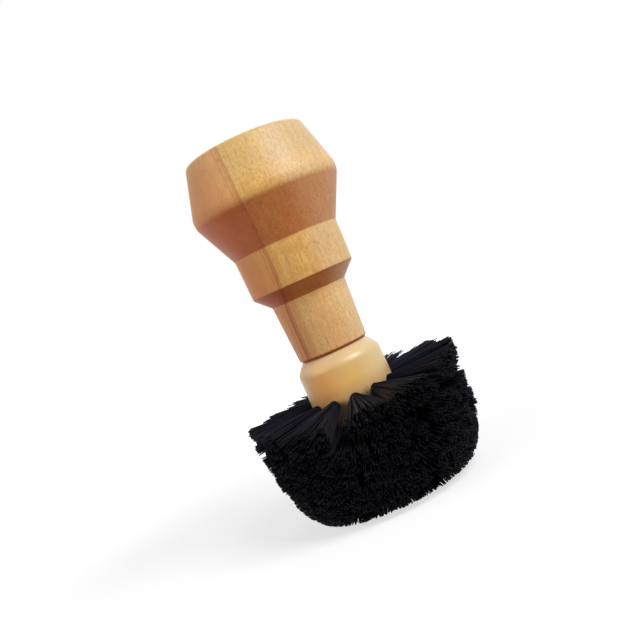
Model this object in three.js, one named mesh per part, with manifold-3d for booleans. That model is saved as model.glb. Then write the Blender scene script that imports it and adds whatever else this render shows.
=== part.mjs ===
// A cleaning brush for the group of an espresso machine. A turned wooden handle
// screws onto a moulded head, and tufts of stiff bristle, each folded over a flat
// wire anchor, fill the drilled core of that head and are trimmed to one outline.
// Sizes are in millimetres and angles in degrees. Z runs up the turning axis, and
// the trimmed end of the bristles lies on Z = 0.
import * as THREE from "three";
import { mergeVertices } from "three/addons/utils/BufferGeometryUtils.js";
import Module from "manifold-3d";

const wasm = await Module();
wasm.setup();

// Handle, from the parting line up
const neckDiameter = 23;
const neckEdgeRound = 0.8;
const neckLength = 19.3;
const neckTopDiameter = 25;
const chamferLength = 4.5;
const beltDiameter = 34.1;
const beltLength = 13.3;
const beltTopDiameter = 34.8;
const knobUnderLength = 15.5;
const knobDiameter = 49.5;
const knobRound = 6;
const knobTopLength = 17.6;
const topDiameter = 39.3;
const topEdgeRound = 1.6;

// Screw joint: a stud held in the head, and a threaded sleeve held in the handle
const studDiameter = 8;
const studInHandle = 15;
const studInHead = 10;
const studChamfer = 0.8;
const sleeveDiameter = 12;
const sleeveLength = 14;
const boreRelief = 1;

// Head: depths are below the parting line
const partingHeight = 49.8;
const collarTopDiameter = 21.4;
const collarTopRound = 0.6;
const shoulderDepth = 3.9;
const shoulderRound = 2;
const collarDiameter = 27.7;
const skinThickness = 1.6;

// Tufts: the rows' places, and each tuft's hole, anchor and strands
const firstRowDepth = 15.8;
const rowPitch = 6.2;
const holeDiameter = 3.8;
const holeDepth = 5.2;
const anchorThickness = 0.4;
const anchorHeight = 1.4;
const foldThickness = 0.8;
const strandDiameter = 1;
const ringStrands = 5;
const strandFan = 18;

// Trimmed outline of the bristles: a fullness of 1 makes the corner a chamfer, and 2 an ellipse
const brushDiameter = 70.2;
const flatEndDiameter = 48;
const brushCornerHeight = 22.5;
const brushCornerFullness = 1.5;
const flatEndCut = 0.5;

// Fits
const partingGap = 0.3;
const fitGap = 0.3;

// Fineness of the facets
const handleSegments = 48;
const collarSegments = 36;
const coreSegments = 24;
const screwSegments = 24;
const tuftSides = 6;
const strandSides = 3;
const roundSteps = 4;
const domeStep = 30;
const weldTolerance = 1e-4;

// Rows of tufts from the collar down: two on the straight core, the rest at latitudes
// of its round end. dip is the slope of the tufts, fan their spread along the axis,
// and stagger turns the row by a share of its pitch.
const rows = [
  { depth: firstRowDepth, count: 12, dip: 0.5, fan: 7, stagger: 0 },
  { depth: firstRowDepth + rowPitch, count: 12, dip: 10, fan: 6.5, stagger: 0.5 },
  { latitude: 12, count: 12, dip: 16.5, fan: 6.5, stagger: 0 },
  { latitude: 35, count: 8, dip: 26, fan: 8, stagger: 0 },
  { latitude: 58, count: 6, dip: 50, fan: 13, stagger: 0.5 },
  { latitude: 90, count: 1, dip: 90, fan: strandFan, stagger: 0 },
];

const wood = new THREE.MeshStandardMaterial({ color: 0xd2a063, roughness: 0.45, metalness: 0 });
const ivory = new THREE.MeshStandardMaterial({ color: 0xe6cf9a, roughness: 0.4, metalness: 0 });
const bristle = new THREE.MeshStandardMaterial({ color: 0x14141c, roughness: 0.55, metalness: 0 });
const steel = new THREE.MeshStandardMaterial({ color: 0xb4b7ba, roughness: 0.35, metalness: 1 });
const brass = new THREE.MeshStandardMaterial({ color: 0xc9a452, roughness: 0.35, metalness: 1 });

const radians = THREE.MathUtils.degToRad;
const xAxis = new THREE.Vector3(1, 0, 0);
const yAxis = new THREE.Vector3(0, 1, 0);
const zAxis = new THREE.Vector3(0, 0, 1);

// A closed geometry as a solid that can be joined and cut
function solidOf(geometry) {
  const bare = geometry.clone();
  bare.deleteAttribute("normal");
  bare.deleteAttribute("uv");
  const merged = mergeVertices(bare, weldTolerance);
  return new wasm.Manifold(
    new wasm.Mesh({
      numProp: 3,
      vertProperties: merged.attributes.position.array,
      triVerts: new Uint32Array(merged.index.array),
    }),
  );
}

function geometryOf(solid) {
  const mesh = solid.getMesh();
  const geometry = new THREE.BufferGeometry();
  geometry.setAttribute("position", new THREE.BufferAttribute(mesh.vertProperties, 3));
  geometry.setIndex(new THREE.BufferAttribute(mesh.triVerts, 1));
  geometry.computeVertexNormals();
  return geometry;
}

// Corners as [radius, height, round], joined by straight lines and rounded where asked
function roundedProfile(corners) {
  const points = corners.map(([radius, height]) => new THREE.Vector2(radius, height));
  const path = new THREE.Path();
  path.moveTo(points[0].x, points[0].y);
  for (let i = 1; i < points.length; i++) {
    const corner = points[i];
    const round = corners[i][2];
    if (!round) {
      path.lineTo(corner.x, corner.y);
      continue;
    }
    const back = points[i - 1].clone().sub(corner).normalize();
    const ahead = points[i + 1].clone().sub(corner).normalize();
    const reach = round / Math.tan(Math.acos(back.dot(ahead)) / 2);
    const start = corner.clone().addScaledVector(back, reach);
    const end = corner.clone().addScaledVector(ahead, reach);
    path.lineTo(start.x, start.y);
    path.quadraticCurveTo(corner.x, corner.y, end.x, end.y);
  }
  return path.getPoints(roundSteps);
}

// A solid of revolution about Z, from a profile listed upwards along its outside, with
// a flat facing each multiple of its pitch
function turned(profile, segments) {
  return new THREE.LatheGeometry(profile, segments, Math.PI / segments).rotateX(Math.PI / 2);
}

// A bar along Z between two heights, with a flat facing X
function bar(diameter, bottom, top, sides) {
  const corners = Array.from({ length: sides }, (_, i) => {
    const turn = (2 * Math.PI * (i + 0.5)) / sides;
    return new THREE.Vector2(Math.cos(turn), Math.sin(turn)).multiplyScalar(diameter / 2);
  });
  const settings = { depth: top - bottom, bevelEnabled: false };
  return new THREE.ExtrudeGeometry(new THREE.Shape(corners), settings).translate(0, 0, bottom);
}

function named(name, geometry, material) {
  const mesh = new THREE.Mesh(geometry, material);
  mesh.name = name;
  return mesh;
}

// Handle, turned from one piece of wood and bored for the sleeve
const sleeveBore = sleeveDiameter + 2 * fitGap;
const boreDepth = studInHandle + boreRelief;
const beltHeight = neckLength + chamferLength;
const beltTopHeight = beltHeight + beltLength;
const knobHeight = beltTopHeight + knobUnderLength;
const handleLength = knobHeight + knobTopLength;
const handleProfile = roundedProfile([
  [0, boreDepth],
  [sleeveBore / 2, boreDepth],
  [sleeveBore / 2, 0],
  [neckDiameter / 2, 0, neckEdgeRound],
  [neckTopDiameter / 2, neckLength],
  [beltDiameter / 2, beltHeight],
  [beltTopDiameter / 2, beltTopHeight],
  [knobDiameter / 2, knobHeight, knobRound],
  [topDiameter / 2, handleLength, topEdgeRound],
  [0, handleLength],
]);
const handle = named("handle", turned(handleProfile, handleSegments), wood);

// Threaded sleeve in the foot of the handle, its thread at its plain diameter
const sleeveHole = studDiameter + 2 * fitGap;
const sleeveProfile = roundedProfile([
  [sleeveHole / 2, sleeveLength],
  [sleeveHole / 2, 0],
  [sleeveDiameter / 2, 0],
  [sleeveDiameter / 2, sleeveLength],
  [sleeveHole / 2, sleeveLength],
]);
const sleeve = named("thread_sleeve", turned(sleeveProfile, screwSegments), brass);

// Stud in the head, chamfered at both ends
const studProfile = roundedProfile([
  [0, -studInHead],
  [studDiameter / 2 - studChamfer, -studInHead],
  [studDiameter / 2, studChamfer - studInHead],
  [studDiameter / 2, studInHandle - studChamfer],
  [studDiameter / 2 - studChamfer, studInHandle],
  [0, studInHandle],
]);
const stud = named("stud", turned(studProfile, screwSegments), steel);

// Core of the head: a straight stretch, and a half sphere from half a pitch below its last row
const coreRadius = collarDiameter / 2;
const domeDepth = firstRowDepth + 1.5 * rowPitch;
const coreEnd = domeDepth + coreRadius;

// Outline of the core inset by a wall, listed upwards between two depths
function coreOutline(deep, shallow, inset) {
  const radius = coreRadius - inset;
  const points = [];
  if (deep > domeDepth) {
    const latitudeAt = (depth) => Math.asin(THREE.MathUtils.clamp((depth - domeDepth) / radius, 0, 1));
    const low = latitudeAt(deep);
    const high = latitudeAt(shallow);
    const steps = Math.ceil((low - high) / radians(domeStep));
    for (let i = 0; i <= steps; i++) {
      const latitude = THREE.MathUtils.lerp(low, high, i / steps);
      points.push([radius * Math.cos(latitude), -domeDepth - radius * Math.sin(latitude)]);
    }
  } else {
    points.push([radius, -deep]);
  }
  if (shallow < domeDepth) {
    points.push([radius, -shallow]);
  }
  return points;
}

// Centre of the mouth of a row's holes
function mouthOf(row) {
  if (row.depth) {
    return { radius: coreRadius, depth: row.depth };
  }
  const latitude = radians(row.latitude);
  return {
    radius: coreRadius * Math.cos(latitude),
    depth: domeDepth + coreRadius * Math.sin(latitude),
  };
}

// Frame of a row's tuft before it is turned to its place: origin at the mouth of the
// hole, Z out along the tuft and Y round the head
function rowFrame(row) {
  const mouth = mouthOf(row);
  return new THREE.Matrix4()
    .makeTranslation(mouth.radius, 0, -mouth.depth)
    .multiply(new THREE.Matrix4().makeRotationY(Math.PI / 2 + radians(row.dip)));
}

function tuftFrames(row) {
  return Array.from({ length: row.count }, (_, i) => {
    const turn = (2 * Math.PI * (i + row.stagger)) / row.count;
    return new THREE.Matrix4().makeRotationZ(turn).multiply(rowFrame(row));
  });
}

// Holes of some rows, cut out of a solid
function drilled(solid, holeRows) {
  const hole = bar(holeDiameter, -holeDepth, holeDepth, tuftSides);
  for (const frame of holeRows.flatMap(tuftFrames)) {
    solid = solid.subtract(solidOf(hole.clone().applyMatrix4(frame)));
  }
  return solid;
}

// The skin of the core is shared out between the rows, halfway from one row's tufts to
// the next one's at the middle of its thickness
const midSkinDepth = (row) => mouthOf(row).depth - (skinThickness / 2) * Math.sin(radians(row.dip));
const rowDepths = rows.map(midSkinDepth);
const midway = (i) => (rowDepths[i] + rowDepths[i + 1]) / 2;
const collarEnd = firstRowDepth - rowPitch / 2;
const bands = [
  { name: "bristles_row_1", rows: rows.slice(0, 1), from: collarEnd, to: midway(0) },
  { name: "bristles_row_2", rows: rows.slice(1, 2), from: midway(0), to: midway(1) },
  { name: "bristles_row_3", rows: rows.slice(2, 3), from: midway(1), to: midway(2) },
  { name: "bristles_end", rows: rows.slice(3), from: midway(2), to: coreEnd },
];

// Head block: collar, core inside the skin, a blind hole for each tuft and one for the stud
const studHole = studDiameter + 2 * fitGap;
const collarProfile = roundedProfile([
  [0, -collarEnd],
  [coreRadius, -collarEnd],
  [coreRadius, -shoulderDepth, shoulderRound],
  [collarTopDiameter / 2, -partingGap, collarTopRound],
  [0, -partingGap],
]);
const coreProfile = roundedProfile([
  ...coreOutline(coreEnd, shoulderDepth, skinThickness + fitGap),
  [0, -shoulderDepth],
]);
const block = drilled(solidOf(turned(coreProfile, coreSegments)), rows)
  .add(solidOf(turned(collarProfile, collarSegments)))
  .subtract(solidOf(bar(studHole, -studInHead - fitGap, 0, screwSegments)));
const headBlock = named("head_block", geometryOf(block), ivory);

// Root of a tuft in its hole: a bundle folded under the anchor, which crosses its window
const bundleDiameter = holeDiameter - 2 * fitGap;
const rootWidth = bundleDiameter * Math.SQRT1_2;
const rootBottom = fitGap - holeDepth;
const windowWidth = anchorThickness + 2 * fitGap;
const windowBottom = rootBottom + foldThickness;
const windowTop = windowBottom + anchorHeight + 2 * fitGap;
const anchorCentre = (windowBottom + windowTop) / 2;
const legThickness = (rootWidth - windowWidth) / 2;
const foldProfile = new THREE.Shape([
  new THREE.Vector2(-rootWidth / 2, -skinThickness / 2),
  new THREE.Vector2(-rootWidth / 2, rootBottom + legThickness),
  new THREE.Vector2(0, rootBottom),
  new THREE.Vector2(rootWidth / 2, rootBottom + legThickness),
  new THREE.Vector2(rootWidth / 2, -skinThickness / 2),
]);
foldProfile.holes.push(
  new THREE.Path([
    new THREE.Vector2(-windowWidth / 2, windowBottom),
    new THREE.Vector2(-windowWidth / 2, windowTop),
    new THREE.Vector2(windowWidth / 2, windowTop),
    new THREE.Vector2(windowWidth / 2, windowBottom),
  ]),
);
const rootGeometry = new THREE.ExtrudeGeometry(foldProfile, { depth: rootWidth, bevelEnabled: false })
  .translate(0, 0, -rootWidth / 2)
  .applyMatrix4(new THREE.Matrix4().makeBasis(yAxis, zAxis, xAxis));

// Trimmed outline: straight sides, a full corner, and a flat end passed by the cut
function insideOutline(point) {
  const radius = Math.hypot(point.x, point.y);
  const height = point.z + partingHeight;
  const out = Math.max(0, (2 * radius - flatEndDiameter) / (brushDiameter - flatEndDiameter));
  const down = Math.max(0, 1 - Math.max(0, height) / brushCornerHeight);
  const corner = out ** brushCornerFullness + Math.sign(out) * down ** brushCornerFullness;
  return height > -flatEndCut && 2 * radius < brushDiameter && corner < 1;
}

// Distance from a point to the outline along a direction
function reachToOutline(start, direction) {
  let inside = 0;
  let outside = brushDiameter;
  while (outside - inside > weldTolerance) {
    const middle = (inside + outside) / 2;
    if (insideOutline(start.clone().addScaledVector(direction, middle))) {
      inside = middle;
    } else {
      outside = middle;
    }
  }
  return inside;
}

// Strands of a row's tuft in its frame: one along its middle and a ring that fans out
const strandRing = (bundleDiameter - strandDiameter) / 2;
function tuftStrands(row) {
  const frame = rowFrame(row);
  return Array.from({ length: ringStrands + 1 }, (_, i) => {
    const turn = (2 * Math.PI * i) / ringStrands;
    const share = i < ringStrands ? 1 : 0;
    const x = share * Math.cos(turn);
    const y = share * Math.sin(turn);
    const foot = new THREE.Vector3(x * strandRing, y * strandRing, 0);
    const lean = new THREE.Vector3(x * Math.tan(radians(row.fan)), y * Math.tan(radians(strandFan)), 1);
    lean.normalize();
    const start = foot.clone().applyMatrix4(frame);
    const reach = reachToOutline(start, lean.clone().transformDirection(frame));
    const stand = new THREE.Quaternion().setFromUnitVectors(zAxis, lean);
    const strand = bar(strandDiameter, -skinThickness / 2, reach, strandSides);
    return strand.applyQuaternion(stand).translate(...foot);
  });
}

// A band of the core's skin with its tufts, cut flat at the trimmed end
const endBox = new THREE.BoxGeometry(2 * brushDiameter, 2 * brushDiameter, partingHeight);
const aboveEnd = solidOf(endBox.translate(0, 0, -partingHeight / 2));

function bristleBand(band) {
  const outer = coreOutline(band.to, band.from + fitGap, 0);
  const inner = coreOutline(band.to, band.from + fitGap, skinThickness);
  const ring = roundedProfile([...inner.toReversed(), ...outer, inner.at(-1)]);
  const otherRows = rows.filter((row) => !band.rows.includes(row));
  let solid = drilled(solidOf(turned(ring, coreSegments)), otherRows);
  for (const row of band.rows) {
    const pieces = [rootGeometry, ...tuftStrands(row)];
    for (const frame of tuftFrames(row)) {
      for (const piece of pieces) {
        solid = solid.add(solidOf(piece.clone().applyMatrix4(frame)));
      }
    }
  }
  return named(band.name, geometryOf(solid.intersect(aboveEnd)), bristle);
}

// Flat wire anchors, one across the fold of each tuft
const anchorLength = holeDiameter * Math.cos(Math.PI / tuftSides) - fitGap;
const anchorGeometry = new THREE.BoxGeometry(anchorLength, anchorThickness, anchorHeight);
anchorGeometry.translate(0, 0, anchorCentre);

function rowAnchors(row, rowIndex) {
  return tuftFrames(row).map((frame, i) => {
    const anchor = named(`anchor_${rowIndex + 1}_${i + 1}`, anchorGeometry, steel);
    anchor.applyMatrix4(frame);
    return anchor;
  });
}

const head = new THREE.Group();
head.add(headBlock, stud, ...bands.map(bristleBand), ...rows.flatMap(rowAnchors));
const grip = new THREE.Group();
grip.add(handle, sleeve);
for (const half of [head, grip]) {
  half.position.z = partingHeight;
}
const brush = new THREE.Group();
brush.add(head, grip);

export default brush;
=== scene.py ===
import math
import random

import bmesh
import bpy
from mathutils import Matrix, Vector


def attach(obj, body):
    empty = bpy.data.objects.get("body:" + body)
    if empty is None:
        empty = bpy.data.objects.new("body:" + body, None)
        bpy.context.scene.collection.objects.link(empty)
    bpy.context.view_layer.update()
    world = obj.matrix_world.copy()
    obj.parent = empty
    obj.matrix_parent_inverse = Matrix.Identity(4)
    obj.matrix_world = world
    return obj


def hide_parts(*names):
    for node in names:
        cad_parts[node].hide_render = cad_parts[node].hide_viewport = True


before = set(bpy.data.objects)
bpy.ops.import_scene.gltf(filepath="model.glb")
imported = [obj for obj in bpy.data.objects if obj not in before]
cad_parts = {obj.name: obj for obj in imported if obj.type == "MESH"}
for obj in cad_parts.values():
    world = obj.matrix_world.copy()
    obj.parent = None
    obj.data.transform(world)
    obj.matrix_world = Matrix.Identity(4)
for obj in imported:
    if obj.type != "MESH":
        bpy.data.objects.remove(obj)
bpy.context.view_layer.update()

MM = 0.001
SHADER = "Principled BSDF"

# Height of the parting line, where handle and head meet, above the trimmed end, in millimetres
PARTING_HEIGHT = 49.8

# Handle, as radius and height above the parting line
NECK_FOOT = (11.5, -0.2)
NECK_TOP = (12.5, 19.3)
BELT_FOOT = (17.05, 23.8)
BELT_TOP = (17.4, 37.1)
KNOB = (24.75, 52.6)
HANDLE_TOP = (19.65, 70.2)
SLEEVE_BORE_RADIUS = 6.3
SLEEVE_BORE_DEPTH = 16

# Screw joint
STUD_RADIUS = 3.9
STUD_ROOT_RADIUS = 3.3
STUD_IN_HANDLE = 15
STUD_IN_HEAD = 10
THREAD_PITCH = 1.25
THREAD_ROOT_END = 0.16 * THREAD_PITCH
THREAD_CREST_START = 0.54 * THREAD_PITCH
THREAD_CREST_END = 0.7 * THREAD_PITCH
STUD_HOLE_RADIUS = 4.3
STUD_HOLE_DEPTH = 10.3
SLEEVE_RADIUS = 5.95
SLEEVE_HOLE_RADIUS = 4.3
SLEEVE_LENGTH = 14
SLEEVE_SINK = 0.05

# Head moulding, depths below the parting line
PARTING_GAP = 0.3
COLLAR_TOP_RADIUS = 10.7
SHOULDER_DEPTH = 3.9
CORE_RADIUS = 13.85
DOME_DEPTH = 25.1
HOLE_RADIUS = 1.9
HOLE_DEPTH = 5.2
DRILL_PROUD = 2

# Roundings of the turned edges, each as its radius and its number of steps
BORE_EDGE = (0.4, 2)
NECK_FOOT_EDGE = (0.8, 5)
NECK_TOP_EDGE = (0.5, 3)
BELT_FOOT_EDGE = (0.5, 4)
BELT_TOP_EDGE = (1.2, 4)
KNOB_EDGE = (6, 12)
HANDLE_TOP_EDGE = (1.6, 7)
SLEEVE_EDGE = (0.3, 3)
SLEEVE_LEAD_IN = (0.5, 3)
SHOULDER_EDGE = (3.4, 9)
COLLAR_EDGE = (0.6, 4)
STUD_HOLE_EDGE = (0.3, 2)

# Steps round one turn of each turned piece, and up the round end of the core
HANDLE_STEPS = 160
SLEEVE_STEPS = 96
THREAD_STEPS = 40
HEAD_STEPS = 144
HOLE_STEPS = 24
DOME_STEPS = 14

# How near points lie to be merged, and to a ring to be part of it
MERGE_DISTANCE = 1e-4
RING_TOLERANCE = 1e-3

# Trimmed outline of the bristles, cut a little out of square
BRUSH_RADIUS = 35.6
FLARE = 0.06
FLAT_END_HEIGHT = 0.8
FLAT_END_RADIUS = 25.5
CORNER_HEIGHT = 22.5
CORNER_FULLNESS = 1.75
TRIM_SKEW = 1.6
TRIM_PIVOT = Vector((0, 0, -16))
TRIM_TOLERANCE = 0.01

# Filaments and how they stand in their tuft
SEED = 4263
FILAMENT_RADIUS = 0.145
END_FILAMENT_RADIUS = 0.175
BUNDLE_RADIUS = 1.74
BUNDLE_SQUARENESS = 0.6
BUNDLE_WAVER = 0.2
FOOT_SINK = 2.0
LEAST_LENGTH = 2.0
STRAND_STEPS = (0.0, 0.5, 1.0)
STRAND_JITTER = 0.06
STRAND_BOW = 0.16
STRANDS_PER_CLUMP = 14
CLUMP_PULL = 0.5
END_CLUMP_PULL = 0.12

# How tufts lean: a spread along the head and round it, in degrees, and away from a split on one side
TUFT_LEAN = (0.5, 2.2)
SPLIT_SIDE = math.radians(255)
SPLIT_REACH = math.radians(25)
SPLIT_LEAN = 4.0

# How much shorter filaments, clumps and tufts are cut: ragged high up, cleaner towards the flat end
STRAND_WAVER = 0.3
CLUMP_WAVER = 0.95
TUFT_WAVER = 0.35
SHORT_SHARE = 0.05
SHORT_BY = (0.4, 2.0)
RAGGED_HEIGHT = 10
CLEAN_CUT_SHARE = 0.15

# How far use has bent each tuft of the upper rows down, in degrees, round from the right
ROW_1_DROOP = (0.5, 0.5, 0, 3, 6.5, 6, 4.3, 5.9, 10, 11.7, 8.3, 2.8)
ROW_2_DROOP = (1.5, 0, 0, 0, 0, 2.5, 3, 5, 7.5, 7.5, 4, 1.5)
ROW_3_DROOP = (0, 0, 0, 0, 0, 0, 0, 1.2, 3.8, 5, 3.8, 1.2)

# Rows of tufts from the collar down: place on the core, slope, then spread along the head and round it
TUFT_ROWS = [
    {
        "depth": 15.8, "count": 12, "stagger": 0, "dip": 0.5,
        "fan": 7, "side": 19, "strands": 330, "droop": ROW_1_DROOP,
    },
    {
        "depth": 22.0, "count": 12, "stagger": 0.5, "dip": 10,
        "fan": 6.5, "side": 19, "strands": 330, "droop": ROW_2_DROOP,
    },
    {
        "latitude": 12, "count": 12, "stagger": 0, "dip": 16.5,
        "fan": 6.5, "side": 19, "strands": 330, "droop": ROW_3_DROOP,
    },
    {"latitude": 35, "count": 8, "stagger": 0, "dip": 26, "fan": 10.5, "side": 27, "strands": 760},
    {"latitude": 58, "count": 6, "stagger": 0.5, "dip": 50, "fan": 19, "side": 32, "strands": 900},
    {"latitude": 90, "count": 1, "stagger": 0, "dip": 90, "fan": 38, "side": 38, "strands": 1300},
]

# Bristle pieces: name, node that it stands for, rows and filament radius
BRISTLE_BANDS = [
    ("bristle_row_1", "bristles_row_1", TUFT_ROWS[0:1], FILAMENT_RADIUS),
    ("bristle_row_2", "bristles_row_2", TUFT_ROWS[1:2], FILAMENT_RADIUS),
    ("bristle_row_3", "bristles_row_3", TUFT_ROWS[2:3], FILAMENT_RADIUS),
    ("bristle_end_side", "bristles_end", TUFT_ROWS[3:4], END_FILAMENT_RADIUS),
    ("bristle_end_face", "bristles_end", TUFT_ROWS[4:6], END_FILAMENT_RADIUS),
]

# Floor: its drop below the brush is in millimetres, its size and the shadow's reach in metres
FLOOR_SIZE = 6.0
FLOOR_DROP = 0.4
FLOOR_GREY = (0.38, 0.38, 0.38, 1)
SHADOW_REACH = (0.1, 0.35)
FLOOR_GLOW = (0.66, 1.0)

# Light and camera, which stands at the photograph's viewing angle
AMBIENT = 0.22
LIGHT_AIM = Vector((0, 0, 60)) * MM
CAMERA_PLACE = Vector((-0.22, -264.53, 70.84)) * MM
CAMERA_AIM = Vector((-0.22, 0, 59.657)) * MM
CAMERA_ROLL = 24.1
CAMERA_LENS = 46.69
SENSOR_WIDTH = 36
CLIP_RANGE = (0.01, 20)


# Shader maths
class Value:
    """A socket in a finish, with arithmetic that adds Math nodes."""

    def __init__(self, finish, socket):
        self.finish = finish
        self.socket = socket

    def maths(self, operation, *inputs):
        return self.finish.add("ShaderNodeMath", {"operation": operation}, dict(enumerate(inputs)))

    def __add__(self, other):
        return self.maths("ADD", self, other)

    __radd__ = __add__

    def __sub__(self, other):
        return self.maths("SUBTRACT", self, other)

    def __rsub__(self, other):
        return self.maths("SUBTRACT", other, self)

    def __mul__(self, other):
        return self.maths("MULTIPLY", self, other)

    __rmul__ = __mul__

    def __truediv__(self, other):
        return self.maths("DIVIDE", self, other)

    def __neg__(self):
        return self.maths("MULTIPLY", self, -1)

    def larger(self, other):
        return self.maths("MAXIMUM", self, other)

    def exp(self):
        return self.maths("EXPONENT", self)

    def sine(self):
        return self.maths("SINE", self)


class Finish:
    """The node tree of a material or a world, with the patterns that the finishes share."""

    def __init__(self, tree):
        self.tree = tree

    def add(self, kind, settings=None, inputs=None, output=0):
        node = self.tree.nodes.new(kind)
        for key, value in (settings or {}).items():
            setattr(node, key, value)
        for key, value in (inputs or {}).items():
            self.feed(node.inputs[key], value)
        return Value(self, node.outputs[output])

    def feed(self, socket, value):
        if isinstance(value, Value):
            self.tree.links.new(value.socket, socket)
        else:
            socket.default_value = value

    def drive(self, node_name, **inputs):
        for socket, value in inputs.items():
            self.feed(self.tree.nodes[node_name].inputs[socket.replace("_", " ")], value)

    def place(self, scale):
        """Object coordinates in millimetres, stretched by a scale."""
        scale = tuple(factor / MM for factor in scale)
        point = self.add("ShaderNodeTexCoord", output="Object")
        return self.add("ShaderNodeMapping", inputs={"Vector": point, "Scale": scale})

    def noise(self, scale, detail=3.0, rough=0.55):
        return self.add(
            "ShaderNodeTexNoise",
            inputs={"Vector": self.place(scale), "Scale": 1.0, "Detail": detail, "Roughness": rough},
        )

    def ease(self, value, low, high, start=0.0, end=1.0):
        """A smooth change from start at low to end at high."""
        return self.add(
            "ShaderNodeMapRange",
            {"interpolation_type": "SMOOTHSTEP"},
            {"Value": value, "From Min": low, "From Max": high, "To Min": start, "To Max": end},
        )

    def line(self, value, centre, width):
        """1 on a line, fading to 0 over its width."""
        off = (value - centre) / width
        return (-(off * off)).exp()

    def blend(self, factor, low, high, mode="MIX"):
        return self.add(
            "ShaderNodeMix",
            {"data_type": "RGBA", "blend_type": mode},
            {0: factor, 6: low, 7: high},
            output=2,
        )

    def axes(self, point):
        return [self.add("ShaderNodeSeparateXYZ", inputs={0: point}, output=i) for i in range(3)]

    def bump(self, height, strength, distance):
        return self.add(
            "ShaderNodeBump",
            inputs={"Height": height, "Strength": strength, "Distance": distance * MM},
        )


def new_finish(name):
    material = bpy.data.materials.new(name)
    material.use_nodes = True
    return material, Finish(material.node_tree)


def linear(level):
    """One channel of a colour on screen, 0 to 255, as a shader value."""
    share = level / 255
    if share > 0.04045:
        return ((share + 0.055) / 1.055) ** 2.4
    return share / 12.92


def srgb(red, green, blue):
    """A colour on screen, 0 to 255, as shader values."""
    return (linear(red), linear(green), linear(blue), 1.0)


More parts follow.
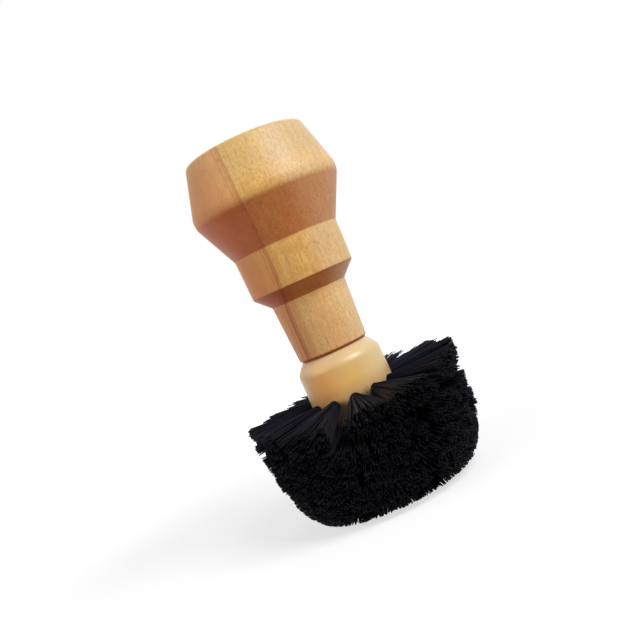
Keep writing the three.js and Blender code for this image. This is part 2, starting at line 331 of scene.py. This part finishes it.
def wood_finish():
    """Golden hardwood. Places are in millimetres: its layers lie across x, and z is the height."""
    material, wood = new_finish("lacquered_wood")
    x, y, z = wood.axes(wood.place((1, 1, 1)))
    sway = wood.noise((0.03, 0.03, 0.016), 2.0)
    layer = x + 0.05 * y + (sway - 0.5) * 5
    # The grain comes in several sizes
    fibre = wood.noise((2.2, 2.2, 0.14), 4.0, 0.6)
    speck = wood.noise((1.8, 1.8, 1.0), 4.0, 0.75)
    fleck = wood.noise((1.5, 1.5, 0.42), 2.0, 0.5)
    mottle = wood.noise((0.34, 0.34, 0.26), 4.0, 0.6)
    patch = wood.noise((0.11, 0.11, 0.06), 3.0)
    growth = (layer * 2.9 + speck * 1.5).sine() * 0.5 + 0.5
    colour = wood.blend(wood.ease(mottle, 0.3, 0.7), srgb(222, 168, 88), srgb(236, 187, 107))
    # Painted light: the neck is painted lighter, lifting the shade it sits in below the belt
    colour = wood.blend(wood.ease(z, 64.0, 73.0, 0.6, 0.0), colour, srgb(252, 204, 139))
    # Painted sheen: the crown is painted paler where it faces up to the light
    colour = wood.blend(wood.ease(z, 102.0, 112.0, 0.0, 0.5), colour, srgb(216, 190, 130))
    # Painted sheen: the block is painted paler on the side that the key light falls on
    paler = wood.blend(wood.ease(z, 66.0, 78.0), srgb(248, 220, 166), srgb(232, 200, 148))
    colour = wood.blend(wood.ease(layer, 1.0, 10.0, 0.0, 0.65), colour, paler)
    # Painted shade: the crown is dimmed on that lit side, toning down its painted sheen
    crown_lit_side_shade = wood.ease(z, 104.0, 113.0) * wood.ease(layer, 0.0, 8.0)
    colour = wood.blend(crown_lit_side_shade, colour, srgb(241, 244, 248), "MULTIPLY")
    # Fine fibres, specks and faint growth lines darken it
    colour = wood.blend(wood.ease(speck, 0.38, 0.66) * 0.6, colour, srgb(222, 207, 188), "MULTIPLY")
    colour = wood.blend(wood.ease(fibre, 0.42, 0.75) * 0.25, colour, srgb(229, 213, 209), "MULTIPLY")
    colour = wood.blend(wood.ease(fleck, 0.6, 0.72) * 0.4, colour, srgb(201, 175, 167), "MULTIPLY")
    colour = wood.blend(wood.ease(patch, 0.42, 0.7) * 0.4, colour, srgb(245, 232, 255), "MULTIPLY")
    colour = wood.blend(wood.ease(growth, 0.75, 1.0) * 0.1, colour, srgb(198, 167, 161), "MULTIPLY")
    # A redder layer with two dark lines runs through the block on the other side; its broad redder field
    # is partly the wood's colour and partly painted shade, the warmer tone of that shaded side
    foot_ward = wood.ease(z, 68.0, 96.0, 1.0, 0.5)
    redder = wood.ease(layer, -16.0, -8.0, 0.45, 0.0)
    redder = redder + wood.ease(layer, -10.4, -8.4, 0.55, 0.0) * foot_ward
    redder = redder + wood.line(layer, -7.2, 1.3) * wood.ease(z, 68.0, 90.0, 0.5, 0.0)
    redder = redder * wood.ease(z, 114.0, 119.5, 1.0, 0.5)
    colour = wood.blend(redder, colour, srgb(212, 128, 66))
    band = wood.line(layer, -8.9, 0.5) * foot_ward
    colour = wood.blend(band * 0.85, colour, srgb(178, 84, 42))
    streak = wood.line(layer, -8.25, 0.24) + wood.line(layer, -9.9, 0.24) * 0.7
    colour = wood.blend(streak * 0.5, colour, srgb(172, 80, 38))
    # Redder and darker where the turning faces down: partly end grain taking the lacquer redder, partly
    # painted shade under the knob and belt, eased off on the lit side; the flat top's end grain takes it
    # too
    facing = wood.axes(wood.add("ShaderNodeTexCoord", output="Normal"))[2]
    end_grain_and_shade = wood.ease(-facing, 0.05, 0.44) * wood.ease(patch, 0.3, 0.7, 1.0, 0.82)
    end_grain_and_shade = end_grain_and_shade * wood.ease(layer, 4.0, 14.0, 1.0, 0.75)
    end_grain_and_shade = end_grain_and_shade + wood.ease(facing, 0.96, 1.0) * 0.4
    colour = wood.blend(end_grain_and_shade, colour, srgb(220, 158, 126), "MULTIPLY")
    # The belt's lower edge is darker
    belt_edge_dark = wood.line(z, PARTING_HEIGHT + BELT_FOOT[1], 0.35)
    colour = wood.blend(belt_edge_dark * 0.35, colour, srgb(142, 84, 44))
    # Painted shade: the neck's foot is darker at the joint with the head, standing in for the shade of the
    # gap
    joint = wood.ease(z, PARTING_HEIGHT + 0.1, PARTING_HEIGHT + 0.8, 0.8, 0.0)
    colour = wood.blend(joint, colour, srgb(160, 74, 34))
    rough = 0.5 + (speck - 0.5) * 0.2 + (fibre - 0.5) * 0.1
    height = fibre * 0.4 + speck * 0.6
    wood.drive(SHADER, Base_Color=colour, Roughness=rough, Normal=wood.bump(height, 0.14, 0.12))
    wood.drive(SHADER, Coat_Weight=0.12, Coat_Roughness=0.4, Specular_IOR_Level=0.4)
    return material


def ivory_finish():
    """Clouded plastic. Places are in millimetres: x is across the collar, and z is the height."""
    material, ivory = new_finish("ivory_plastic")
    x, _, z = ivory.axes(ivory.place((1, 1, 1)))
    cloud = ivory.noise((0.16, 0.16, 0.1), 3.0)
    speck = ivory.noise((1.6, 1.6, 1.1), 4.0, 0.6)
    colour = ivory.blend(ivory.ease(cloud, 0.3, 0.7), srgb(220, 190, 138), srgb(220, 182, 118))
    # Amber towards the tufts and the middle: partly uneven yellowing, partly painted shade, the deeper
    # tone of the lower collar
    middle = 0.3 + 0.7 * ivory.line(x, -2.0, 8.0)
    amber = ivory.ease(z + (cloud - 0.5) * 8, 40.0, 49.0, 1.0, 0.0) * middle
    colour = ivory.blend(amber, colour, srgb(244, 192, 100))
    # Painted light: the side that the key light falls on is painted paler
    colour = ivory.blend(ivory.ease(x, 3.0, 11.0, 0.0, 0.5), colour, srgb(236, 214, 164))
    # Painted shade: the top, which faces the light, is toned greyer to hold down its highlight
    colour = ivory.blend(ivory.ease(z, 44.0, 48.0, 0.0, 0.6), colour, srgb(212, 184, 142))
    # An orange streak runs down one side, fainter towards the top
    orange = ivory.line(x, -8.0, 4.0) * ivory.ease(cloud, 0.3, 0.6, 0.7, 1.0)
    orange = orange * ivory.ease(z, 43.0, 47.0, 1.0, 0.3)
    colour = ivory.blend(orange, colour, srgb(250, 170, 78))
    # Fine specks are darker, and so is all of it towards the tufts
    colour = ivory.blend(ivory.ease(speck, 0.6, 0.8) * 0.12, colour, srgb(196, 146, 90))
    colour = ivory.blend(ivory.ease(z, 35.5, 40.5, 0.6, 0.0), colour, srgb(204, 156, 108))
    # Painted shade darkens the core among the tufts, where light hardly reaches between them
    core_shade = ivory.ease(z + (speck - 0.5) * 2 + (cloud - 0.5) * 3, 33.0, 36.0, 1.0, 0.0)
    colour = ivory.blend(core_shade * 0.92, colour, srgb(46, 38, 31))
    rough = 0.34 + (speck - 0.5) * 0.2 + (cloud - 0.5) * 0.1 + core_shade * 0.25
    ivory.drive(SHADER, Base_Color=colour, Roughness=rough, Normal=ivory.bump(speck + cloud, 0.12, 0.12))
    ivory.drive(SHADER, Subsurface_Weight=0.25, Subsurface_Scale=2.5 * MM)
    ivory.drive(SHADER, Subsurface_Radius=(1.0, 0.62, 0.3))
    ivory.drive(SHADER, Coat_Weight=0.12, Coat_Roughness=0.2)
    return material


def bristle_finish():
    """Blue-black filament, by each one's own tone and the share of its length from the root."""
    material, bristle = new_finish("black_filament")
    tone = bristle.add("ShaderNodeAttribute", {"attribute_name": "tone"}, output="Fac")
    along = bristle.add("ShaderNodeAttribute", {"attribute_name": "along"}, output="Fac")
    dust = bristle.noise((1.2, 1.2, 1.2), 2.0)
    # Painted shade: the blue fades towards the tips, which face out end-on between the filaments
    length_wise = bristle.ease(along, 0.7, 0.97, 1.0, 0.2)
    colour = bristle.blend((0.3 + 0.7 * tone) * length_wise, srgb(12, 12, 14), srgb(13, 13, 27))
    # Painted light: the tips are painted a little paler, lifting the shade they sit in
    colour = bristle.blend(bristle.ease(along, 0.9, 1.0), colour, srgb(21, 21, 24))
    # Painted glints: a few filaments are painted pale grey
    colour = bristle.blend(bristle.ease(tone, 0.95, 1.0) * 0.7, colour, srgb(58, 55, 52))
    rough = 0.48 + (dust - 0.5) * 0.2 + tone * 0.15 + bristle.ease(along, 0.35, 0.8, 0.3, 0.0)
    bristle.drive(SHADER, Base_Color=colour, Roughness=rough, Normal=bristle.bump(dust, 0.1, 0.05))
    bristle.drive(SHADER, Specular_IOR_Level=0.15, Specular_Tint=(0.6, 0.68, 1.0, 1.0))
    return material


def metal_finish(name, bright, dull):
    material, metal = new_finish(name)
    tarnish = metal.noise((0.5, 0.5, 0.5), 4.0)
    scratch = metal.noise((5.0, 5.0, 0.4), 3.0)
    colour = metal.blend(metal.ease(tarnish, 0.35, 0.7), bright, dull)
    rough = 0.24 + tarnish * 0.16 + scratch * 0.1
    metal.drive(SHADER, Base_Color=colour, Roughness=rough, Normal=metal.bump(scratch, 0.1, 0.05))
    metal.drive(SHADER, Metallic=1.0)
    return material


WOOD = wood_finish()
IVORY = ivory_finish()
BRISTLE = bristle_finish()
STEEL = metal_finish("bright_steel", srgb(200, 202, 205), srgb(150, 152, 156))
BRASS = metal_finish("brass", srgb(222, 186, 104), srgb(176, 136, 66))


# Mesh helpers
def finish_piece(name, mesh, material, body, nodes, sharp):
    """Puts a mesh in the scene as one piece, with edges sharp from an angle in degrees."""
    mesh.materials.clear()
    mesh.materials.append(material)
    mesh.shade_smooth()
    mesh.set_sharp_from_angle(angle=math.radians(sharp))
    piece = bpy.data.objects.new(name, mesh)
    bpy.context.scene.collection.objects.link(piece)
    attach(piece, body)
    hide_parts(*nodes)


def close_up(bm):
    """Closes seams and poles, and turns the faces outwards."""
    bmesh.ops.remove_doubles(bm, verts=bm.verts, dist=MERGE_DISTANCE)
    bmesh.ops.recalc_face_normals(bm, faces=bm.faces)


def mesh_of(bm, name):
    """The finished bmesh as a mesh in metres, on its place above the trimmed end."""
    bmesh.ops.translate(bm, verts=bm.verts, vec=(0, 0, PARTING_HEIGHT))
    bmesh.ops.scale(bm, verts=bm.verts, vec=(MM, MM, MM))
    mesh = bpy.data.meshes.new(name)
    bm.to_mesh(mesh)
    bm.free()
    return mesh


def shown_mesh(holder):
    """The mesh of an object as its modifiers and curves leave it."""
    depsgraph = bpy.context.evaluated_depsgraph_get()
    return bpy.data.meshes.new_from_object(holder.evaluated_get(depsgraph))


def turned(corners, steps):
    """A profile of corners as (radius, height) or (radius, height, round, segments), spun about Z."""
    bm = bmesh.new()
    verts = [bm.verts.new((corner[0], 0, corner[1])) for corner in corners]
    edges = [bm.edges.new(pair) for pair in zip(verts, verts[1:])]
    bmesh.ops.spin(
        bm, geom=verts + edges, cent=(0, 0, 0), axis=(0, 0, 1), angle=math.tau, steps=steps, use_merge=True
    )
    close_up(bm)
    for before, corner, after in zip(corners, corners[1:], corners[2:]):
        if len(corner) > 2:
            soften_ring(bm, before, corner, after)
    return bm


def soften_ring(bm, before, corner, after):
    """Rounds the ring at a corner to its radius."""
    radius, height, rounding, segments = corner
    middle = Vector((radius, height))
    back = Vector(before[:2]) - middle
    ahead = Vector(after[:2]) - middle
    reach = rounding / math.tan(back.angle(ahead) / 2)

    def on_ring(point):
        return (Vector((point.xy.length, point.z)) - middle).length < RING_TOLERANCE

    ring = [edge for edge in bm.edges if all(on_ring(vert.co) for vert in edge.verts)]
    bmesh.ops.bevel(
        bm, geom=ring, offset=reach, segments=segments, profile=0.5, affect="EDGES", material=-1
    )


# Handle
handle_corners = [
    (0, SLEEVE_BORE_DEPTH),
    (SLEEVE_BORE_RADIUS, SLEEVE_BORE_DEPTH),
    (SLEEVE_BORE_RADIUS, NECK_FOOT[1], *BORE_EDGE),
    (*NECK_FOOT, *NECK_FOOT_EDGE),
    (*NECK_TOP, *NECK_TOP_EDGE),
    (*BELT_FOOT, *BELT_FOOT_EDGE),
    (*BELT_TOP, *BELT_TOP_EDGE),
    (*KNOB, *KNOB_EDGE),
    (*HANDLE_TOP, *HANDLE_TOP_EDGE),
    (0, HANDLE_TOP[1]),
]
handle_mesh = mesh_of(turned(handle_corners, HANDLE_STEPS), "turned_handle")
finish_piece("turned_handle", handle_mesh, WOOD, "handle", ["handle"], sharp=25)

# Sleeve
sleeve_corners = [
    (SLEEVE_HOLE_RADIUS, SLEEVE_LENGTH / 2),
    (SLEEVE_HOLE_RADIUS, SLEEVE_SINK, *SLEEVE_LEAD_IN),
    (SLEEVE_RADIUS, SLEEVE_SINK, *SLEEVE_EDGE),
    (SLEEVE_RADIUS, SLEEVE_LENGTH, *SLEEVE_LEAD_IN),
    (SLEEVE_HOLE_RADIUS, SLEEVE_LENGTH, *SLEEVE_EDGE),
    (SLEEVE_HOLE_RADIUS, SLEEVE_LENGTH / 2),
]
sleeve_mesh = mesh_of(turned(sleeve_corners, SLEEVE_STEPS), "brass_sleeve")
finish_piece("brass_sleeve", sleeve_mesh, BRASS, "sleeve", ["thread_sleeve"], sharp=40)


# Stud with its thread
def threaded_stud():
    """One pitch of thread is spun along a screw line, then cut square at both ends."""
    turns = math.ceil((STUD_IN_HANDLE + STUD_IN_HEAD) / THREAD_PITCH) + 2
    start = -STUD_IN_HEAD - THREAD_PITCH
    profile = [
        (STUD_ROOT_RADIUS, 0),
        (STUD_ROOT_RADIUS, THREAD_ROOT_END),
        (STUD_RADIUS, THREAD_CREST_START),
        (STUD_RADIUS, THREAD_CREST_END),
        (STUD_ROOT_RADIUS, THREAD_PITCH),
    ]
    bm = bmesh.new()
    verts = [bm.verts.new((radius, 0, start + height)) for radius, height in profile]
    edges = [bm.edges.new(pair) for pair in zip(verts, verts[1:])]
    bmesh.ops.spin(
        bm,
        geom=verts + edges,
        cent=(0, 0, 0),
        axis=(0, 0, 1),
        dvec=(0, 0, THREAD_PITCH / THREAD_STEPS),
        angle=math.tau * turns,
        steps=THREAD_STEPS * turns,
    )
    close_up(bm)
    for height, side in ((-STUD_IN_HEAD, -1), (STUD_IN_HANDLE, 1)):
        geom = bm.verts[:] + bm.edges[:] + bm.faces[:]
        cut = bmesh.ops.bisect_plane(
            bm, geom=geom, plane_co=(0, 0, height), plane_no=(0, 0, side), clear_outer=True
        )
        rim = [part for part in cut["geom_cut"] if isinstance(part, bmesh.types.BMEdge)]
        bmesh.ops.edgeloop_fill(bm, edges=rim)
    close_up(bm)
    return bm


stud_mesh = mesh_of(threaded_stud(), "threaded_stud")
finish_piece("threaded_stud", stud_mesh, STEEL, "head", ["stud"], sharp=35)


# Tuft places
def row_mouth(row):
    """Radius and depth of the mouths of a row's holes."""
    if "depth" in row:
        return CORE_RADIUS, row["depth"]
    latitude = math.radians(row["latitude"])
    return CORE_RADIUS * math.cos(latitude), DOME_DEPTH + CORE_RADIUS * math.sin(latitude)


def tuft_frames(row):
    """Frames at the mouths of a row's holes: Z out along the tuft, Y round the head."""
    radius, depth = row_mouth(row)
    lean = Matrix.Rotation(math.pi / 2 + math.radians(row["dip"]), 4, "Y")
    place = Matrix.Translation((radius, 0, -depth)) @ lean
    turns = [math.tau * (i + row["stagger"]) / row["count"] for i in range(row["count"])]
    return [Matrix.Rotation(turn, 4, "Z") @ place for turn in turns]


# Head moulding: collar and core turned as one, then drilled for the tufts
def dome_corners():
    arc = [math.pi / 2 * i / DOME_STEPS for i in range(DOME_STEPS + 1)]
    return [(CORE_RADIUS * math.sin(a), -DOME_DEPTH - CORE_RADIUS * math.cos(a)) for a in arc]


head_corners = [
    *dome_corners(),
    (CORE_RADIUS, -SHOULDER_DEPTH, *SHOULDER_EDGE),
    (COLLAR_TOP_RADIUS, -PARTING_GAP, *COLLAR_EDGE),
    (STUD_HOLE_RADIUS, -PARTING_GAP, *STUD_HOLE_EDGE),
    (STUD_HOLE_RADIUS, -STUD_HOLE_DEPTH),
    (0, -STUD_HOLE_DEPTH),
]


def hole_cutters():
    """A drill for each tuft's hole, standing proud of its mouth."""
    sink = Matrix.Translation((0, 0, (DRILL_PROUD - HOLE_DEPTH) / 2))
    bm = bmesh.new()
    for row in TUFT_ROWS:
        for place in tuft_frames(row):
            bmesh.ops.create_cone(
                bm,
                cap_ends=True,
                segments=HOLE_STEPS,
                radius1=HOLE_RADIUS,
                radius2=HOLE_RADIUS,
                depth=HOLE_DEPTH + DRILL_PROUD,
                matrix=place @ sink,
            )
    return mesh_of(bm, "hole_cutters")


def drilled(mesh, cutter_mesh):
    """The mesh with the cutters taken out of it."""
    blank = bpy.data.objects.new("blank", mesh)
    cutters = bpy.data.objects.new("cutters", cutter_mesh)
    for item in (blank, cutters):
        bpy.context.scene.collection.objects.link(item)
    cut = blank.modifiers.new("drill", "BOOLEAN")
    cut.operation = "DIFFERENCE"
    cut.solver = "EXACT"
    cut.use_self = True
    cut.object = cutters
    result = shown_mesh(blank)
    for item in (blank, cutters):
        bpy.data.objects.remove(item)
    return result


head_mesh = drilled(mesh_of(turned(head_corners, HEAD_STEPS), "head_blank"), hole_cutters())
finish_piece("moulded_head", head_mesh, IVORY, "head", ["head_block"], sharp=30)


# Bristles
SQUARE_UP = Matrix.Rotation(math.radians(TRIM_SKEW), 3, "Y")


def inside_outline(point):
    """Whether a point lies inside the trimmed outline, which was cut a little out of square."""
    point = SQUARE_UP @ (point - TRIM_PIVOT) + TRIM_PIVOT
    radius = math.hypot(point.x, point.y)
    height = point.z + PARTING_HEIGHT - FLAT_END_HEIGHT
    if height >= CORNER_HEIGHT:
        return radius < BRUSH_RADIUS + FLARE * (height - CORNER_HEIGHT)
    if height < 0 or radius > BRUSH_RADIUS:
        return False
    if radius <= FLAT_END_RADIUS:
        return True
    out = (radius - FLAT_END_RADIUS) / (BRUSH_RADIUS - FLAT_END_RADIUS)
    down = 1 - height / CORNER_HEIGHT
    return out**CORNER_FULLNESS + down**CORNER_FULLNESS < 1


def reach_to_outline(start, direction):
    """How far it is from a point to the outline, found by halving."""
    inside, outside = 0.0, 2 * BRUSH_RADIUS
    while outside - inside > TRIM_TOLERANCE:
        middle = (inside + outside) / 2
        if inside_outline(start + direction * middle):
            inside = middle
        else:
            outside = middle
    return inside


def disc_points(count, rng):
    """Points spread evenly over a unit disc, each a little off its place."""
    golden = math.pi * (3 - math.sqrt(5))
    points = []
    for i in range(count):
        radius = math.sqrt((i + 0.5) / count)
        turn = i * golden + rng.uniform(-BUNDLE_WAVER, BUNDLE_WAVER)
        points.append(Vector((radius * math.cos(turn), radius * math.sin(turn))))
    return points


def split_lean(way):
    """How far a tuft leans away from the split, in degrees."""
    off = math.remainder(math.atan2(way.y, way.x) - SPLIT_SIDE, math.tau)
    return math.copysign(SPLIT_LEAN, off) * math.exp(-((off / SPLIT_REACH) ** 2))


def tuft_leans(row, rng):
    """How far each tuft of a row leans along the head and round it, as slopes."""
    leans = []
    droops = row.get("droop", [0] * row["count"])
    for place, droop in zip(tuft_frames(row), droops):
        lean = Vector([math.tan(math.radians(rng.gauss(0, spread))) for spread in TUFT_LEAN])
        lean.x += math.tan(math.radians(droop))
        if "droop" in row:
            lean.y += math.tan(math.radians(split_lean(place.to_3x3().col[2])))
        leans.append(lean)
    return leans


def squared(spot):
    """A point of a round bundle moved towards the corners of a square, so that tufts fan flat-sided."""
    return spot * (spot.length / max(abs(spot.x), abs(spot.y))) ** BUNDLE_SQUARENESS


def tuft_strands(row, place, lean, rng):
    """Filaments of one tuft, as lists of points: straight in the hole, then fanned, bowed and trimmed."""
    clump_count = row["strands"] // STRANDS_PER_CLUMP
    clumps = [Vector((rng.uniform(-1, 1), rng.uniform(-1, 1))) for _ in range(clump_count)]
    tuft_short = abs(rng.gauss(0, TUFT_WAVER))
    clump_shorts = [tuft_short + abs(rng.gauss(0, CLUMP_WAVER)) for _ in range(clump_count)]
    axial = math.tan(math.radians(row["fan"]))
    sideways = math.tan(math.radians(row["side"]))
    pull = CLUMP_PULL if "droop" in row else END_CLUMP_PULL
    turn = place.to_3x3()
    strands = []
    for spot in disc_points(row["strands"], rng):
        nearest = min(range(clump_count), key=lambda i: (clumps[i] - spot).length)
        aim = spot.lerp(clumps[nearest], pull * rng.random())
        aim = squared(aim) + Vector((rng.gauss(0, STRAND_JITTER), rng.gauss(0, STRAND_JITTER)))
        side = spot * BUNDLE_RADIUS
        foot = place @ Vector((side.x, side.y, -FOOT_SINK))
        mouth = place @ Vector((side.x, side.y, 0))
        way = (turn @ Vector((aim.x * axial + lean.x, aim.y * sideways + lean.y, 1))).normalized()
        short = clump_shorts[nearest] + abs(rng.gauss(0, STRAND_WAVER))
        short += rng.uniform(*SHORT_BY) if rng.random() < SHORT_SHARE else 0
        reach = reach_to_outline(mouth, way)
        ragged = max(0.0, (mouth + way * reach).z + PARTING_HEIGHT) / RAGGED_HEIGHT
        short *= min(1.0, CLEAN_CUT_SHARE + (1 - CLEAN_CUT_SHARE) * ragged)
        reach = max(LEAST_LENGTH, reach - short)
        bow = Vector([rng.gauss(0, STRAND_BOW) for _ in range(3)])
        path = [foot]
        for share in STRAND_STEPS:
            path.append(mouth + way * (reach * share) + bow * (4 * share * (1 - share)))
        strands.append(path)
    return strands


def strand_mesh(name, strands, radius):
    """Square filaments along the strands, open at their ends."""
    curve = bpy.data.curves.new(name, "CURVE")
    curve.dimensions = "3D"
    curve.bevel_depth = radius * MM
    curve.bevel_resolution = 0
    for path in strands:
        spline = curve.splines.new("POLY")
        spline.points.add(len(path) - 1)
        for point, place in zip(spline.points, path):
            point.co = (place.x * MM, place.y * MM, (place.z + PARTING_HEIGHT) * MM, 1)
    holder = bpy.data.objects.new(name, curve)
    bpy.context.scene.collection.objects.link(holder)
    mesh = shown_mesh(holder)
    bpy.data.objects.remove(holder)
    return mesh


def mark_strands(mesh, strands, rng):
    """Writes each filament's own tone, and the share of its length, to the mesh's points."""
    tones, shares = [], []
    sides = len(mesh.vertices) // sum(len(path) for path in strands)
    for path in strands:
        tone = rng.random()
        for i in range(len(path)):
            tones += [tone] * sides
            shares += [i / (len(path) - 1)] * sides
    for name, values in (("tone", tones), ("along", shares)):
        mesh.attributes.new(name, "FLOAT", "POINT").data.foreach_set("value", values)


def close_ends(mesh):
    """Caps the square filaments."""
    bm = bmesh.new()
    bm.from_mesh(mesh)
    rims = [edge for edge in bm.edges if edge.is_boundary]
    bmesh.ops.holes_fill(bm, edges=rims, sides=4)
    bmesh.ops.recalc_face_normals(bm, faces=bm.faces)
    bm.to_mesh(mesh)
    bm.free()


for band_index, (name, node, band_rows, radius) in enumerate(BRISTLE_BANDS):
    rng = random.Random(SEED + band_index)
    strands = []
    for row in band_rows:
        for place, lean in zip(tuft_frames(row), tuft_leans(row, rng)):
            strands += tuft_strands(row, place, lean, rng)
    bristle_mesh = strand_mesh(name, strands, radius)
    mark_strands(bristle_mesh, strands, rng)
    close_ends(bristle_mesh)
    finish_piece(name, bristle_mesh, BRISTLE, "head", [node], sharp=60)

# Wire anchors stay as they are, in bright steel
for name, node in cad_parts.items():
    if name.startswith("anchor_"):
        node.data.materials.clear()
        node.data.materials.append(STEEL)


# Floor, light and background
def seen_directly(finish):
    """1 for what the camera sees, also in a mirror or through glass."""
    seen = finish.add("ShaderNodeLightPath", output="Is Camera Ray")
    for ray in ("Is Glossy Ray", "Is Transmission Ray"):
        seen = seen.larger(finish.add("ShaderNodeLightPath", output=ray))
    return seen


def floor_finish():
    """Pale, with the object's shadow near it and white further out."""
    material, floor = new_finish("pale_floor")
    floor.tree.nodes.remove(floor.tree.nodes[SHADER])
    point = floor.add("ShaderNodeTexCoord", output="Object")
    away = floor.add("ShaderNodeVectorMath", {"operation": "LENGTH"}, {0: point}, output="Value")
    glow = seen_directly(floor) * floor.ease(away, *SHADOW_REACH, *FLOOR_GLOW)
    light = floor.add("ShaderNodeEmission", inputs={"Strength": glow})
    dull = floor.add("ShaderNodeBsdfDiffuse", inputs={"Color": FLOOR_GREY})
    both = floor.add("ShaderNodeAddShader", inputs={0: light, 1: dull})
    floor.drive("Material Output", Surface=both)
    return material


floor_bm = bmesh.new()
bmesh.ops.create_grid(floor_bm, x_segments=1, y_segments=1, size=FLOOR_SIZE)
bmesh.ops.translate(floor_bm, verts=floor_bm.verts, vec=(0, 0, -FLOOR_DROP * MM))
floor_mesh = bpy.data.meshes.new("floor")
floor_bm.to_mesh(floor_mesh)
floor_bm.free()
floor_mesh.materials.append(floor_finish())
floor_object = bpy.data.objects.new("floor", floor_mesh)
bpy.context.scene.collection.objects.link(floor_object)

studio = bpy.data.worlds.new("studio")
studio.use_nodes = True
bpy.context.scene.world = studio
sky = Finish(studio.node_tree)
sky.drive("Background", Color=(1, 1, 1, 1), Strength=seen_directly(sky) * (1 - AMBIENT) + AMBIENT)


def soft_light(name, turn, height, distance, size, level):
    """A square lamp aimed at the brush, turned right of the camera and raised above it, in degrees.

    Distance and size are in metres. A level of 1 lights a white face that looks at it to white.
    """
    turn = math.radians(turn)
    height = math.radians(height)
    bearing = Vector((math.sin(turn), -math.cos(turn), 0))
    away = bearing * math.cos(height) + Vector((0, 0, math.sin(height)))
    lamp = bpy.data.lights.new(name, "AREA")
    lamp.size = size
    lamp.energy = level * (math.pi * distance) ** 2
    holder = bpy.data.objects.new(name, lamp)
    bpy.context.scene.collection.objects.link(holder)
    holder.location = LIGHT_AIM + away * distance
    holder.rotation_mode = "QUATERNION"
    holder.rotation_quaternion = (-away).to_track_quat("-Z", "Y")


soft_light("key", turn=48, height=41, distance=0.8, size=0.45, level=0.96)
soft_light("side_fill", turn=-72, height=25, distance=0.8, size=0.6, level=0.32)
soft_light("back_fill", turn=165, height=40, distance=0.9, size=0.6, level=0.15)

# Camera
camera = bpy.data.objects.new("camera", bpy.data.cameras.new("camera"))
bpy.context.scene.collection.objects.link(camera)
camera.data.sensor_width = SENSOR_WIDTH
camera.data.lens = CAMERA_LENS
camera.data.clip_start, camera.data.clip_end = CLIP_RANGE
sight = (CAMERA_AIM - CAMERA_PLACE).to_track_quat("-Z", "Y").to_matrix().to_4x4()
roll = Matrix.Rotation(-math.radians(CAMERA_ROLL), 4, "Z")
camera.matrix_world = Matrix.Translation(CAMERA_PLACE) @ sight @ roll
bpy.context.scene.camera = camera
bpy.context.scene.view_settings.view_transform = "Standard"
